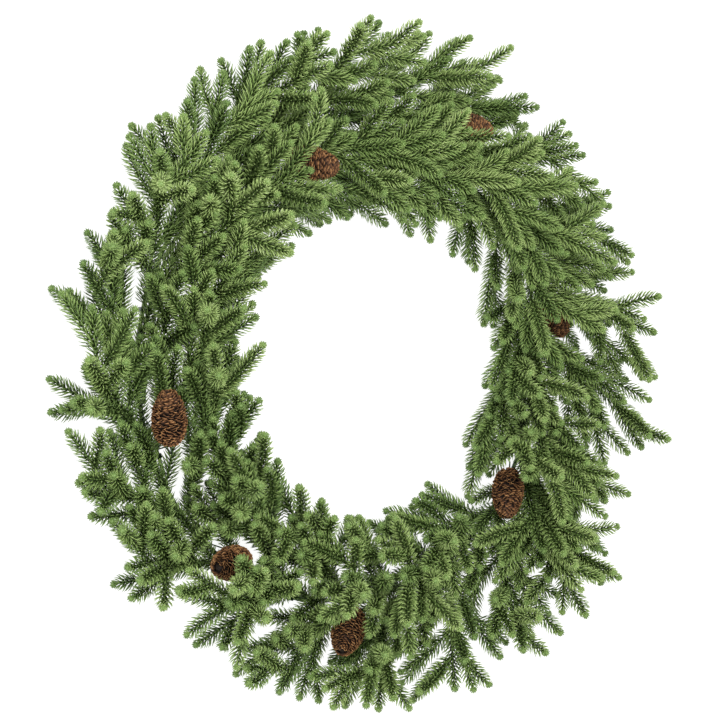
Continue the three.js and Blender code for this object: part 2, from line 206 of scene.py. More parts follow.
CONE_LENGTH = 58
CONE_RADIUS = 20
CONE_SCALES = 430
CONE_SLIM = 0.78  # the surface that the scales cross, in shares of the cone's radius
CORE_SLIM = 0.66  # and the surface of the core
CORE_FROM, CORE_SPAN = 0.04, 0.92  # where the core starts and how far it goes, in shares of the cone's length
SCALES_FROM, SCALES_SPAN = 0.03, 0.93  # the same for the scales
STALK_STUB = {"radius1": 2.6, "radius2": 3.4, "depth": 5}
STUB_AT = 1.5
SCALE_WIDTH = 6.6
SCALE_LENGTH = 9.5
SCALE_THICK = 0.4
SCALE_ROOT = 0.45  # its width at the root, as a share of its greatest
SCALE_ROUNDED = 0.2  # how far its corners are cut back, as a share of its length
SCALE_RIPPLE = 0.55
SCALE_DISH = 0.4
SCALE_CURL = 1.4  # how far its rim bends outwards
SCALE_HELD = 0.62  # the share of its length that lies inside the surface that it crosses
SCALE_LEAN = (30, 62)  # degrees off the cone's surface
SCALE_SIZES = (0.85, 1.12)
SCALE_ASIDE = 0.1  # how far a scale may stand off its spiral, in radians
SCALE_TWIST = 0.7
SCALE_TINT = 0.14
GOLDEN_TURN = math.radians(137.508)
CONES = [  # clock round the ring and heading of the tip are in degrees anticlockwise from +X
    {"clock": 191, "radius": 272, "height": 84, "heading": 98, "rise": 12, "clear": 26},
    {"clock": 113, "radius": 234, "height": 76, "heading": -8, "rise": 22, "clear": 12},
    {"clock": 63, "radius": 302, "height": 46, "heading": -5, "rise": 5, "clear": 0},
    {"clock": 13, "radius": 263, "height": 46, "heading": -56, "rise": 5, "clear": 0},
    {"clock": -40, "radius": 226, "height": 70, "heading": -104, "rise": 12, "clear": 14},
    {"clock": 262, "radius": 290, "height": 66, "heading": 232, "rise": 25, "clear": 8},
    {"clock": 229, "radius": 274, "height": 56, "heading": 186, "rise": 30, "clear": 0},
]
UP = np.array([0.0, 0.0, 1.0])
chance = np.random.default_rng(11)


def unit(way):
    return way / math.sqrt(way @ way)


def place_on_ring(clock):
    """A place on the ring, with the directions outward from its centre and clockwise along it."""
    outward = np.array([math.cos(clock), math.sin(clock), 0.0])
    along = np.array([math.sin(clock), -math.cos(clock), 0.0])
    return {"outward": outward, "along": along, "at": outward * RING_RADIUS}


def cone_axis(spot):
    """A line from the cone's stalk end to its tip."""
    middle = place_on_ring(math.radians(spot["clock"]))["outward"] * spot["radius"]
    middle[2] = spot["height"]
    rise, heading = math.radians(spot["rise"]), math.radians(spot["heading"])
    flat = math.cos(rise)
    way = np.array([flat * math.cos(heading), flat * math.sin(heading), math.sin(rise)])
    half = CONE_LENGTH / 2
    return [middle - way * half, middle + way * half]


def cone_radius(share):
    """The cone's radius at a share of its length from the stalk end."""
    return CONE_RADIUS * math.sin(math.pi * share**0.85) ** 0.5


def shape_of(name, build):
    """A small mesh that is repeated. It keeps how far each corner reaches from root to rim, and a tint."""
    shape = bmesh.new()
    build(shape)
    reach = shape.verts.layers.float.new("reach")
    shape.verts.layers.float.new("tint")
    furthest = max(corner.co.y for corner in shape.verts)
    for corner in shape.verts:
        corner[reach] = max(corner.co.y / furthest, 0)
    mesh = bpy.data.meshes.new(name)
    shape.to_mesh(mesh)
    shape.free()
    return mesh


def cone_scale(shape):
    """A scale with its root at the origin, its rim towards +Y and its outer side up."""
    bmesh.ops.create_grid(shape, x_segments=4, y_segments=3, size=0.5)
    for corner in shape.verts:
        across, out = 2 * corner.co.x, corner.co.y + 0.5
        widens = math.sin(math.pi * min(out * 0.62 + 0.06, 0.5))
        width = SCALE_WIDTH * (SCALE_ROOT + (1 - SCALE_ROOT) * widens)
        corner.co.x = across * width / 2
        corner.co.y = SCALE_LENGTH * out * (1 - SCALE_ROUNDED * across * across * out)
        ripple = SCALE_RIPPLE * math.sin(4.5 * across + 0.6) * out * out
        corner.co.z = -SCALE_DISH * corner.co.x**2 / SCALE_WIDTH + SCALE_CURL * out**3 + ripple
    bmesh.ops.recalc_face_normals(shape, faces=shape.faces)
    bmesh.ops.solidify(shape, geom=shape.faces[:], thickness=SCALE_THICK)
    bmesh.ops.recalc_face_normals(shape, faces=shape.faces)


def add_copies(whole, shape, places, tints):
    """Adds a copy of a mesh at each of several places, which are 4 by 4 arrays, each with its own tint."""
    own = np.array([(*corner.co, 1) for corner in shape.vertices])
    for place, tint in zip(places, tints):
        shape.vertices.foreach_set("co", (own @ place.T)[:, :3].ravel())
        shape.attributes["tint"].data.foreach_set("value", np.full(len(own), tint, dtype=np.float32))
        whole.from_mesh(shape)
    shape.vertices.foreach_set("co", own[:, :3].ravel())


def scale_places():
    """Where the scales sit on an upright cone: spirals by the golden angle, leaning towards the tip."""
    places = []
    for number in range(CONE_SCALES):
        share = SCALES_FROM + SCALES_SPAN * (number + 0.5) / CONE_SCALES
        radius = CONE_SLIM * cone_radius(share)
        slope = (cone_radius(min(share + 0.02, 0.999)) - cone_radius(share - 0.02)) / (0.04 * CONE_LENGTH)
        lean = math.atan(slope) + math.radians(chance.uniform(*SCALE_LEAN))
        size = (0.5 + 0.5 * radius / CONE_RADIUS) * chance.uniform(*SCALE_SIZES)
        turn = Matrix.Rotation(number * GOLDEN_TURN + chance.uniform(-SCALE_ASIDE, SCALE_ASIDE), 4, "Z")
        root = share * CONE_LENGTH - SCALE_HELD * SCALE_LENGTH * size * math.cos(lean)
        out = radius - SCALE_HELD * SCALE_LENGTH * size * math.sin(lean)
        tip_up = Matrix(((1, 0, 0, 0), (0, math.sin(lean), math.cos(lean), out),
                         (0, math.cos(lean), -math.sin(lean), root), (0, 0, 0, 1)))
        twist = Matrix.Rotation(chance.uniform(-SCALE_TWIST, SCALE_TWIST), 4, "Y")
        places.append(np.array(turn @ tip_up @ twist @ Matrix.Scale(size, 4)))
    return places


def cone_core(whole):
    """The body inside the scales and the stub of the stalk. With no reach or tint of their own they take the
    near-black painted shade of the scales' roots.
    """
    bmesh.ops.create_uvsphere(whole, u_segments=16, v_segments=12, radius=1)
    for corner in whole.verts:
        share = min(max((corner.co.z + 1) / 2, 0), 1)
        flat = math.hypot(corner.co.x, corner.co.y)
        slim = CORE_SLIM * cone_radius(share) / flat if flat > 0.01 else 0
        height = CONE_LENGTH * (CORE_FROM + CORE_SPAN * share)
        corner.co = (corner.co.x * slim, corner.co.y * slim, height)
    at_stalk = Matrix.Translation((0, 0, STUB_AT))
    bmesh.ops.create_cone(whole, cap_ends=True, segments=10, matrix=at_stalk, **STALK_STUB)


def stored(tree, attribute):
    """A number that the mesh keeps at each corner."""
    kept = tree.nodes.new("ShaderNodeAttribute")
    kept.attribute_name = attribute
    return kept.outputs["Fac"]


def scaled_and_added(tree, factor, amount, other):
    """One factor times an amount, plus another factor."""
    total = tree.nodes.new("ShaderNodeMath")
    total.operation = "MULTIPLY_ADD"
    tree.links.new(factor, total.inputs[0])
    total.inputs[1].default_value = amount
    tree.links.new(other, total.inputs[2])
    return total.outputs["Value"]


def weathered_wood_and_painted_shade(name):
    """Dry scale wood: rims bleached, grain along the scale, and painted shade that runs from deep brown to
    near black towards the root.
    """
    finish, tree, shader = finish_of(name, roughness=0.78)
    # Painted shade: reach squared darkens each scale towards its root, and with the lowest, near-black stop
    # of the browns the roots and the core go near black. The pale top stops are the worn rims.
    rim = tree.nodes.new("ShaderNodeMath")
    rim.operation = "POWER"
    tree.links.new(stored(tree, "reach"), rim.inputs[0])
    rim.inputs[1].default_value = 2.0
    toned = scaled_and_added(tree, rim.outputs["Value"], 0.8, stored(tree, "tint"))
    grain = mottle(tree, per_metre=900, detail=4)
    streaked = scaled_and_added(tree, grain, 0.34, toned)
    browns_and_painted_shade = [(0.3, 0.012, 0.004, 0.001), (0.72, 0.11, 0.042, 0.012), (0.95, 0.36, 0.165, 0.055),
              (1.0, 0.46, 0.26, 0.105)]
    tree.links.new(shades(tree, streaked, browns_and_painted_shade), shader.inputs["Base Color"])
    raised(tree, shader, mottle(tree, per_metre=1300, detail=4), strength=0.6, depth=0.4 * MM)
    return finish


cone_wood = weathered_wood_and_painted_shade("cone_wood")
scale_shape = shape_of("cone_scale", cone_scale)
for number, spot in enumerate(CONES):
    start, end = cone_axis(spot)
    cone = bmesh.new()
    cone_core(cone)
    add_copies(cone, scale_shape, scale_places(), chance.uniform(-SCALE_TINT, SCALE_TINT, CONE_SCALES))
    spin_round = Matrix.Rotation(chance.uniform(0, 2 * math.pi), 4, "Z")
    upright = Vector(end - start).to_track_quat("Z", "Y").to_matrix().to_4x4() @ spin_round
    bmesh.ops.transform(cone, matrix=Matrix.Translation(Vector(start)) @ upright, verts=cone.verts)
    node = f"pine_cone_{number + 1}"
    finished(f"{node}_scaled", cone, cone_wood, "cone", node)

# --- Cone wires -------------------------------------------------------------------------------------------
# One florist's wire for each cone. It lies on the ring just behind a clamp's cut stems, and rises from there
# to the cone's stalk end. It is soft steel, lacquered green.

CONE_WIRE = 1.6
WIRE_FOOT = 6  # lies along the ring
WIRE_STRAIGHT = 8  # runs straight into the cone
WIRE_BEHIND = 14  # from the ends of the cut stems
STEM_TAIL = 20  # cut stem behind the clamp


def wire_line(axis):
    behind = (STEM_TAIL + WIRE_BEHIND) / RING_RADIUS
    end = axis[0]
    step = 2 * math.pi / CLAMPS
    nearest = math.floor((clamp_clock(0) + behind - math.atan2(end[1], end[0])) / step + 0.5)
    place = place_on_ring(clamp_clock(nearest) + behind)
    low = place["at"].copy()
    low[2] = RING_WIRE + FIT_GAP + CONE_WIRE / 3
    chord = unit(axis[1] - end)
    return [low - WIRE_FOOT * place["along"], low, end - WIRE_STRAIGHT * chord, end - FIT_GAP * chord]


def smooth_line(points, per_span=8):
    """Points on a smooth curve through the given ones."""
    given = np.array([2 * points[0] - points[1], *points, 2 * points[-1] - points[-2]])
    curve = []
    for a, b, c, d in zip(given, given[1:], given[2:], given[3:]):
        for t in np.arange(per_span) / per_span:
            bend = 2 * a - 5 * b + 4 * c - d + t * (3 * (b - c) + d - a)
            curve.append(b + 0.5 * t * (c - a + t * bend))
    return np.array(curve + [given[-2]])


def headings(curve):
    ways = np.gradient(curve, axis=0)
    return ways / np.linalg.norm(ways, axis=1)[:, None]


def across(way):
    """Two directions across a heading."""
    reference = UP if abs(way[2]) < 0.9 else np.array([1.0, 0.0, 0.0])
    u = unit(np.cross(way, reference))
    return u, np.cross(u, way)


def tube(whole, curve, radii, sides):
    """A round section extruded along a curve, capped at both ends. Gives its rings of corners."""
    ways = headings(curve)
    u, _ = across(unit(curve[-1] - curve[0]))
    ring_of = bmesh.ops.create_circle(whole, segments=sides, radius=1, cap_ends=True)["verts"]
    flat = [Vector(corner.co) for corner in ring_of]
    face = ring_of[0].link_faces[0]
    rings = []
    for number, (at, way, radius) in enumerate(zip(curve, ways, radii)):
        if number:
            grown_face = bmesh.ops.extrude_face_region(whole, geom=[face], use_keep_orig=number == 1)["geom"]
            face = next(part for part in grown_face if isinstance(part, bmesh.types.BMFace))
            ring_of = [corner for corner in face.verts]
        x = unit(u - way * (u @ way))
        y = np.cross(way, x)
        for corner, own in zip(ring_of, flat):
            corner.co = Vector(at + radius * (x * own.x + y * own.y))
        rings.append(ring_of)
    return rings


wire_lacquer = enamel("wire_lacquer", dark=(0.012, 0.04, 0.012), light=(0.03, 0.075, 0.025))
for number, spot in enumerate(CONES):
    curve = smooth_line(wire_line(cone_axis(spot)), per_span=6)
    cone_wire = bmesh.new()
    tube(cone_wire, curve, [CONE_WIRE / 2] * len(curve), sides=8)
    bmesh.ops.recalc_face_normals(cone_wire, faces=cone_wire.faces)
    node = f"cone_wire_{number + 1}"
    finished(f"{node}_lacquered", cone_wire, wire_lacquer, "wire", node)

# --- Sprays of spruce -------------------------------------------------------------------------------------
# 42 cut sprays, two to a clamp, which run clockwise from it and overlap like shingles. Each is a stem with up
# to seven side shoots, set all round with stiff needles that are swept towards the tip, and every shoot ends
# in a round bud of short new needles. The lines of stems and side shoots are the CAD model's own.

STEM_LEAD = 6
OUTWARD = {"start": 20, "end": 46, "length": 164}  # a stem's flare off the ring, in degrees, and its length
FRONT = {"start": 34, "end": 50, "length": 186}
INWARD = {"start": 42, "end": 54, "length": 162}
OUTER_ROLL = 16  # round the ring's wire, in degrees from straight outward
INNER_ROLL = 92
ROLL_RANGE = 72
GOLDEN = 0.618034
ROLL_LIMIT = 12
SIDE_SHOOTS = 7
SIDE_FIRST = 0.12  # where they leave the stem, in shares of its length
SIDE_RANGE = 0.62
SIDE_LENGTH = 125
SIDE_SHORTER = 55
SIDE_ANGLE = 22
SIDE_TILT = 0.7  # how far the plane of the side shoots turns to the spray's own side of the ring
STEM_CHANCE = {"roll": 8, "further": 1.5, "start": 4, "end": 5, "length": 0.1}
SIDE_CHANCE = {"open": 10, "open_further": 1, "lift": 14, "lift_further": 2, "length": 0.12}
STEM_STEPS = 3
STEM_TRIES = 30
SIDE_TRIES = 14
SEED = 273
DRAW_FACTOR = 48271
DRAW_PRIME = 2147483647
RING_TAKES = 6.5  # the radius of the room that each thing takes round points of it
RING_TAKES_AT = 6
WIRE_TAKES = 2.5
WIRE_STEP = 6
CONE_TAKES = CONE_RADIUS + 3
CONE_SHARES = (0.25, 0.5, 0.75)
SHOOT_TAKES = 4.5
SHOOT_ROOM = 4.8  # the least room between a new shoot and what is there
SHOOT_STEP = 10
REACH = {"inner": 158, "outer": 378, "low": 7, "high": 162}

taken = {"at": [], "radius": [], "owner": []}
growth = {"state": SEED}


def take(at, radius, owner):
    taken["at"].append(np.array(at))
    taken["radius"].append(radius)
    taken["owner"].append(owner)


def spread(amount):
    """The next random number either side of nought. The CAD model draws the same ones."""
    growth["state"] = growth["state"] * DRAW_FACTOR % DRAW_PRIME
    return amount * (2 * growth["state"] / DRAW_PRIME - 1)


def point_along(points, distance):
    left = distance
    for near, far in zip(points, points[1:]):
        heading = far - near
        step = math.sqrt(heading @ heading)
        heading = heading / step
        if left <= step or far is points[-1]:
            return near + heading * left, heading
        left -= step


def length_of(points):
    return sum(math.sqrt((far - near) @ (far - near)) for near, far in zip(points, points[1:]))


def samples(line):
    length = length_of(line)
    count = math.floor(length / SHOOT_STEP + 0.5)
    return np.array([point_along(line, length * k / count)[0] for k in range(count + 1)])


def within_reach(points):
    radius = np.hypot(points[:, 0], points[:, 1])
    in_band = radius.min() >= REACH["inner"] and radius.max() <= REACH["outer"]
    return in_band and points[:, 2].min() >= REACH["low"] and points[:, 2].max() < REACH["high"]


def freest(propose, tries, owner, clear_from):
    """Of several places for a line, the one with the most room."""
    best, most = None, 0
    at, radius = np.array(taken["at"]), np.array(taken["radius"])
    others = np.array([other != owner for other in taken["owner"]])
    for attempt in range(tries):
        line = propose(attempt)
        points = samples(line)
        if not within_reach(points[clear_from:]):
            continue
        gaps = np.sqrt(((points[:, None] - at[None]) ** 2).sum(2)) - radius[None]
        if gaps[clear_from:][:, others].min() < SHOOT_ROOM:
            continue
        space = gaps[3:].min()
        if best is None or space > most:
            best, most = line, space
    if best is not None:
        for point in samples(best):
            take(point, SHOOT_TAKES, owner)
    return best


def seat_of(index):
    """The roll of a spray round the ring's wire, and how a spray at that roll leaves the ring."""
    inner = index % 2
    part = (index // 2 * GOLDEN + inner / 2) % 1
    roll = (INNER_ROLL if inner else OUTER_ROLL) + ROLL_RANGE * part
    low, high = (OUTWARD, FRONT) if roll < 90 else (FRONT, INWARD)
    share = roll % 90 / 90
    return {"roll": roll} | {key: low[key] + (high[key] - low[key]) * share for key in low}


def heading_off(place, roll, flare):
    """The direction that leaves the ring at a roll and a flare, both in degrees."""
    roll, flare = math.radians(roll), math.radians(flare)
    side = place["outward"] * math.cos(roll) + UP * math.sin(roll)
    return place["along"] * math.cos(flare) + side * math.sin(flare)


def grown(start, first, last, length):
    """A line of straight steps that starts with one heading and bends evenly to another."""
    points = [start]
    for step in range(STEM_STEPS):
        heading = unit(first + (last - first) * ((step + 0.5) / STEM_STEPS))
        points.append(points[-1] + heading * (length / STEM_STEPS))
    return points


def grow_stem(index):
    place = place_on_ring(clamp_clock(index // 2))
    seat = seat_of(index)
    aside = (STEM_RADIUS + 2 * FIT_GAP) * (-1 if index % 2 else 1)
    gripped = place["at"] + place["outward"] * aside
    gripped[2] = CLAMP_FLOOR + CLAMP_STRAP + FIT_GAP + STEM_RADIUS

    def propose(attempt):
        wanted = seat["roll"] + spread(STEM_CHANCE["roll"] + STEM_CHANCE["further"] * attempt)
        roll = min(180 - ROLL_LIMIT, max(ROLL_LIMIT, wanted))
        first = heading_off(place, roll, seat["start"] + spread(STEM_CHANCE["start"]))
        last = heading_off(place, roll, seat["end"] + spread(STEM_CHANCE["end"]))
        length = seat["length"] * (1 + spread(STEM_CHANCE["length"]))
        return grown(gripped + place["along"] * STEM_LEAD, first, last, length)

    stem = freest(propose, STEM_TRIES, index, 3)
    return {"place": place, "seat": seat, "gripped": gripped, "stem": stem, "sides": [], "twiglets": []}


def grow_side(spray, index, number):
    """A side shoot, left and right by turns, in the layer that the spray forms on the wreath."""
    share = SIDE_FIRST + SIDE_RANGE * number / (SIDE_SHOOTS - 1)
    at, heading = point_along(spray["stem"], share * length_of(spray["stem"]))
    face = unit(heading_off(spray["place"], spray["seat"]["roll"], 90) * SIDE_TILT + UP)
    sideways = unit(np.cross(face, heading)) * (1 if (number + index) % 2 else -1)

    def propose(attempt):
        opened = SIDE_ANGLE + spread(SIDE_CHANCE["open"] + SIDE_CHANCE["open_further"] * attempt)
        lift = spread(SIDE_CHANCE["lift"] + SIDE_CHANCE["lift_further"] * attempt)
        length = (SIDE_LENGTH - SIDE_SHORTER * share) * (1 + spread(SIDE_CHANCE["length"]))
        way = heading * math.cos(math.radians(opened)) + sideways * math.sin(math.radians(opened))
        return [at, at + unit(way + face * math.sin(math.radians(lift))) * length]

    shoot = freest(propose, SIDE_TRIES, index, 2)
    if shoot is not None:
        spray["sides"].append(shoot)


for clock in range(0, 360, 2):
    take(place_on_ring(math.radians(clock))["at"] + UP * RING_TAKES_AT, RING_TAKES, "ring")
for spot in CONES:
    axis = cone_axis(spot)
    line = wire_line(axis)
    count = math.ceil(length_of(line) / WIRE_STEP)
    for k in range(count + 1):
        take(point_along(line, length_of(line) * k / count)[0], WIRE_TAKES, "wire")
    for share in CONE_SHARES:
        inside = axis[0] + (axis[1] - axis[0]) * share
        take(inside, CONE_TAKES, "cone")
        if spot["clear"]:
            take(inside + UP * spot["clear"], spot["clear"], "cone")
sprays = [grow_stem(index) for index in range(2 * CLAMPS)]
for number in range(SIDE_SHOOTS):
    for index, spray in enumerate(sprays):
        grow_side(spray, index, number)

# Short twiglets on the side shoots, finer than the CAD model goes.

TWIGLETS = (0.2, 0.45)  # where they leave their side shoot, in shares of its length
TWIGLET_LENGTH = 84
TWIGLET_SHORTER = 44
TWIGLET_ANGLE = 28
TWIGLET_TRIES = 8
TWIGLET_CHANCE = {"place": 0.06, "open": 8, "roll": 50, "roll_further": 8, "length": 0.2}
CONE_FRONT = np.array([-0.54, 0.0, 0.84])  # the side of each cone that the twiglets leave free
CONE_CLEAR = 11  # the radius that stays free of them, round points this far ahead of the cone
CONE_AHEAD = (24, 44, 64)
CONE_AHEAD_SHARES = (0.15, 0.5, 0.85)


def grow_twiglet(spray, index, shoot, number):
    start, end = shoot
    heading = unit(end - start)
    share = TWIGLETS[number] + spread(TWIGLET_CHANCE["place"])
    at = start + (end - start) * share
    u, v = across(heading)

    def propose(attempt):
        opened = math.radians(TWIGLET_ANGLE + spread(TWIGLET_CHANCE["open"] + attempt))
        turned = spread(TWIGLET_CHANCE["roll"] + TWIGLET_CHANCE["roll_further"] * attempt)
        roll = math.radians(180 * (number % 2) + turned)
        sideways = u * math.cos(roll) + v * math.sin(roll)
        length = (TWIGLET_LENGTH - TWIGLET_SHORTER * share) * (1 + spread(TWIGLET_CHANCE["length"]))
        return [at, at + (heading * math.cos(opened) + sideways * math.sin(opened)) * length]

    twiglet = freest(propose, TWIGLET_TRIES, index, 2)
    if twiglet is not None:
        spray["twiglets"].append(twiglet)


for spot in CONES:
    axis = cone_axis(spot)
    for share in CONE_AHEAD_SHARES:
        inside = axis[0] + (axis[1] - axis[0]) * share
        for ahead in CONE_AHEAD:
            take(inside + CONE_FRONT * ahead, CONE_CLEAR, "cone")
for number in range(len(TWIGLETS)):
    for index, spray in enumerate(sprays):
        for shoot in spray["sides"]:
            grow_twiglet(spray, index, shoot, number)

# The needles and buds on those lines.

NEEDLE_LENGTH = 15.2
NEEDLE_RADIUS = 0.7
NEEDLE_FOOT = 0.8  # its radius at the foot, as a share of the greatest
NEEDLE_SHOULDER = 0.64  # where it is thickest, as a share of its length
NEEDLE_BEND = 0.7
NEEDLE_ROWS = 8  # in a ring round the shoot
NEEDLE_PITCH = 3.9  # along the shoot from one ring of needles to the next
NEEDLE_SWEEP = (50, 42)  # degrees between needle and twig, at the shoot's foot and near its bud
NEEDLE_CHANCE = {"place": 0.2, "turn": 0.07, "sweep": 2.5, "length": (0.88, 1.06), "tint": 0.09}
NEEDLE_SUNK = 0.6  # where it starts inside the twig, as a share of the twig's radius
NEEDLE_TINT = 0.38
NEEDLE_LOW = 0.8  # the least height of a needle's tip over the table
TWIG_LOW = 2.9  # and of a twig's middle line, so that its bud lies on the table and not in it
YOUNG = 18  # the last stretch before the bud, where the needles are younger
YOUNG_SHORTER = 0.55  # as a share of their length
YOUNG_CLOSER = 8  # degrees towards the twig
YOUNG_PALER = 0.06
TINTS = (0.05, 0.8)  # the darkest and the palest
TWIG_RADIUS = 1.5
TWIG_TIP = 0.8
TWIG_RINGS = 7
TWIG_SIDES = 6
TWIG_TINT = 0.2
BOW = 3.5  # how far a side shoot may bow from its straight line
BARE_FOOT = 5
BUD_LENGTH = 10.2
BUD_CORE = {"back": (0.85, 0.6, 0.4, 0.25), "radii": (1.6, 2.6, 2.8, 1.9)}  # back from its tip, in lengths
BUD_NEEDLES = 34
BUD_SPAN = 1.55  # how far round the bud the needles go, from its tip: 2 is all the way
BUD_REACH = 0.9  # the length of its needles, in bud radii
BUD_ROOT = 0.14  # how far from its middle they start
BUD_CHANCE = {"length": (0.92, 1.04), "tint": 0.11}
BUD_TINT = 0.32
PAINTED_LIGHT_RISE = 0.0022  # painted light: how much paler a shoot is for each millimetre that it is nearer to the front; lower shoots get painted shade
PAINTED_LIGHT_HEIGHT = 78  # the height of a shoot of middling tone, with no painted light or shade
TONE_CHANCE = 0.1


def spruce_needle(shape):
    """A three-sided needle of unit length along +Y, stout up to its shoulder, where it bends a little."""
    upright = Matrix.Translation((0, 0.5, 0)) @ Matrix.Rotation(-math.pi / 2, 4, "X")
    sizes = {"segments": 3, "radius1": NEEDLE_FOOT, "radius2": 0, "depth": 1}
    bmesh.ops.create_cone(shape, cap_ends=True, matrix=upright, **sizes)
    cut = {"plane_co": (0, NEEDLE_SHOULDER, 0), "plane_no": (0, 1, 0)}
    bmesh.ops.bisect_plane(shape, geom=shape.verts[:] + shape.edges[:] + shape.faces[:], **cut)
    shoulder = [corner for corner in shape.verts if 0.1 < corner.co.y < 0.9]
    wider = 1 / (NEEDLE_FOOT * (1 - NEEDLE_SHOULDER))
    bmesh.ops.scale(shape, vec=(wider, 1, wider), verts=shoulder)
    bmesh.ops.translate(shape, vec=(NEEDLE_BEND, 0, 0), verts=shoulder)


def along(curve, values, distances):
    """The values at distances along a curve."""
    run = np.concatenate([[0], np.cumsum(np.linalg.norm(np.diff(curve, axis=0), axis=1))])
    return np.stack([np.interp(distances, run, values[:, i]) for i in range(3)], axis=1)


def unit_rows(rows):
    return rows / np.linalg.norm(rows, axis=1)[:, None]


def off_the_table(roots, ways, lengths):
    """Directions of needles, raised where a needle's tip would otherwise lie lower than it may."""
    least, steepest = (NEEDLE_LOW - roots[:, 2]) / lengths, 0.9
    rise = np.maximum(ways[:, 2], np.minimum(least, steepest))
    level = np.maximum(np.linalg.norm(ways[:, :2], axis=1), 0.01)
    flat = ways[:, :2] * (np.sqrt(1 - np.clip(rise, -1, 1) ** 2) / level)[:, None]
    return unit_rows(np.column_stack([flat, rise]))


def needle_places(roots, ways, out, lengths):
    """Where needles sit: each row gives a root, a direction, the side that it bends to and a length."""
    ways = off_the_table(roots, ways, lengths)
    out = unit_rows(out - ways * (out * ways).sum(1)[:, None])
    places = np.zeros((len(roots), 4, 4))
    places[:, :3, 0] = out * NEEDLE_RADIUS
    places[:, :3, 1] = ways * lengths[:, None]
    places[:, :3, 2] = np.cross(out, ways) * NEEDLE_RADIUS
    places[:, :3, 3] = roots
    places[:, 3, 3] = 1
    return places


def needled(whole, curve, bare, tone):
    """Sets needles round a twig in staggered rings. Just before the bud they are young, short and close."""
    total = length_of(curve)
    u, v = across(unit(curve[-1] - curve[0]))
    neck = total - BUD_LENGTH
    stations = np.arange(bare, neck, NEEDLE_PITCH)
    at = np.repeat(stations, NEEDLE_ROWS)
    at = at + chance.normal(0, NEEDLE_CHANCE["place"], len(at))
    young = np.clip(1 - (neck - at) / YOUNG, 0, 1) ** 2
    ways = unit_rows(along(curve, headings(curve), at))
    row = np.tile(np.arange(NEEDLE_ROWS), len(stations))
    whorl = np.repeat(np.arange(len(stations)), NEEDLE_ROWS)
    turn = 2 * math.pi * (row + whorl % 2 / 2) / NEEDLE_ROWS + chance.uniform(0, 2 * math.pi)
    turn = turn + chance.normal(0, NEEDLE_CHANCE["turn"], len(at))
    out = np.cos(turn)[:, None] * u + np.sin(turn)[:, None] * v
    out = unit_rows(out - ways * (out * ways).sum(1)[:, None])
    sweep = np.interp(at / total, (0, 1), NEEDLE_SWEEP) - YOUNG_CLOSER * young
    sweep = np.radians(sweep + chance.normal(0, NEEDLE_CHANCE["sweep"], len(at)))[:, None]
    lengths = NEEDLE_LENGTH * (1 - YOUNG_SHORTER * young) * chance.uniform(*NEEDLE_CHANCE["length"], len(at))
    roots = along(curve, curve, at) + out * TWIG_RADIUS * NEEDLE_SUNK
    leaving = out * np.sin(sweep) + ways * np.cos(sweep)
    tints = NEEDLE_TINT + tone + YOUNG_PALER * young + chance.normal(0, NEEDLE_CHANCE["tint"], len(at))
    add_copies(whole, needle_shape, needle_places(roots, leaving, out, lengths), np.clip(tints, *TINTS))


def budded(whole, curve, tone):
    """A tight round cluster of short new needles at the tip."""
    way = unit(curve[-1] - curve[-2])
    u, v = across(way)
    ball = BUD_LENGTH / 2
    middle = curve[-1] - way * ball
    number = np.arange(BUD_NEEDLES)
    rise = 1 - BUD_SPAN * (number + 0.5) / BUD_NEEDLES
    turn = GOLDEN_TURN * number + chance.uniform(0, 2 * math.pi)
    out = np.cos(turn)[:, None] * u + np.sin(turn)[:, None] * v
    leaving = way * rise[:, None] + out * np.sqrt(1 - rise**2)[:, None]
    lengths = ball * BUD_REACH * chance.uniform(*BUD_CHANCE["length"], BUD_NEEDLES)
    roots = middle + leaving * ball * BUD_ROOT
    tints = BUD_TINT + tone + chance.normal(0, BUD_CHANCE["tint"], BUD_NEEDLES)
    add_copies(whole, needle_shape, needle_places(roots, leaving, out, lengths), np.clip(tints, *TINTS))


def twig(whole, curve, thick):
    """The twig, which thins towards the tip and swells again inside the bud."""
    total = length_of(curve)
    body = np.linspace(0, total - BUD_LENGTH, TWIG_RINGS)
    bud = total - BUD_LENGTH * np.array(BUD_CORE["back"])
    radii = [*np.interp(body, (0, total), (thick, TWIG_TIP)), *BUD_CORE["radii"]]
    rings = tube(whole, along(curve, curve, np.concatenate([body, bud])), radii, TWIG_SIDES)
    for corner in sum(rings, []):
        corner[whole.verts.layers.float["reach"]] = 1
        corner[whole.verts.layers.float["tint"]] = TWIG_TINT


def spruce_green(name):
    """Stiff needles: painted shade darkens each one towards its foot, and the rest runs from deep green
    through mid green to pale yellow-green.
    """
    finish, tree, shader = finish_of(name, roughness=0.42)
    shader.inputs["Specular IOR Level"].default_value = 0.36
    blotched = scaled_and_added(tree, mottle(tree, per_metre=60, detail=2), 0.16, stored(tree, "tint"))
    greens = [(0.05, 0.09, 0.165, 0.05), (0.4, 0.225, 0.34, 0.095), (0.7, 0.4, 0.525, 0.18),
              (1.0, 0.57, 0.68, 0.34)]
    # Painted shade: the foot of each needle, where the needles crowd round the twig, is mixed towards a
    # near-black green.
    foot = tree.nodes.new("ShaderNodeMapRange")
    foot.inputs["From Min"].default_value = 0.08
    foot.inputs["From Max"].default_value = 0.5
    tree.links.new(stored(tree, "reach"), foot.inputs["Value"])
    shaded = tree.nodes.new("ShaderNodeMix")
    shaded.data_type = "RGBA"
    shaded.inputs["A"].default_value = (0.032, 0.066, 0.01, 1)
    tree.links.new(foot.outputs["Result"], shaded.inputs["Factor"])
    tree.links.new(shades(tree, blotched, greens), shaded.inputs["B"])
    tree.links.new(shaded.outputs["Result"], shader.inputs["Base Color"])
    return finish


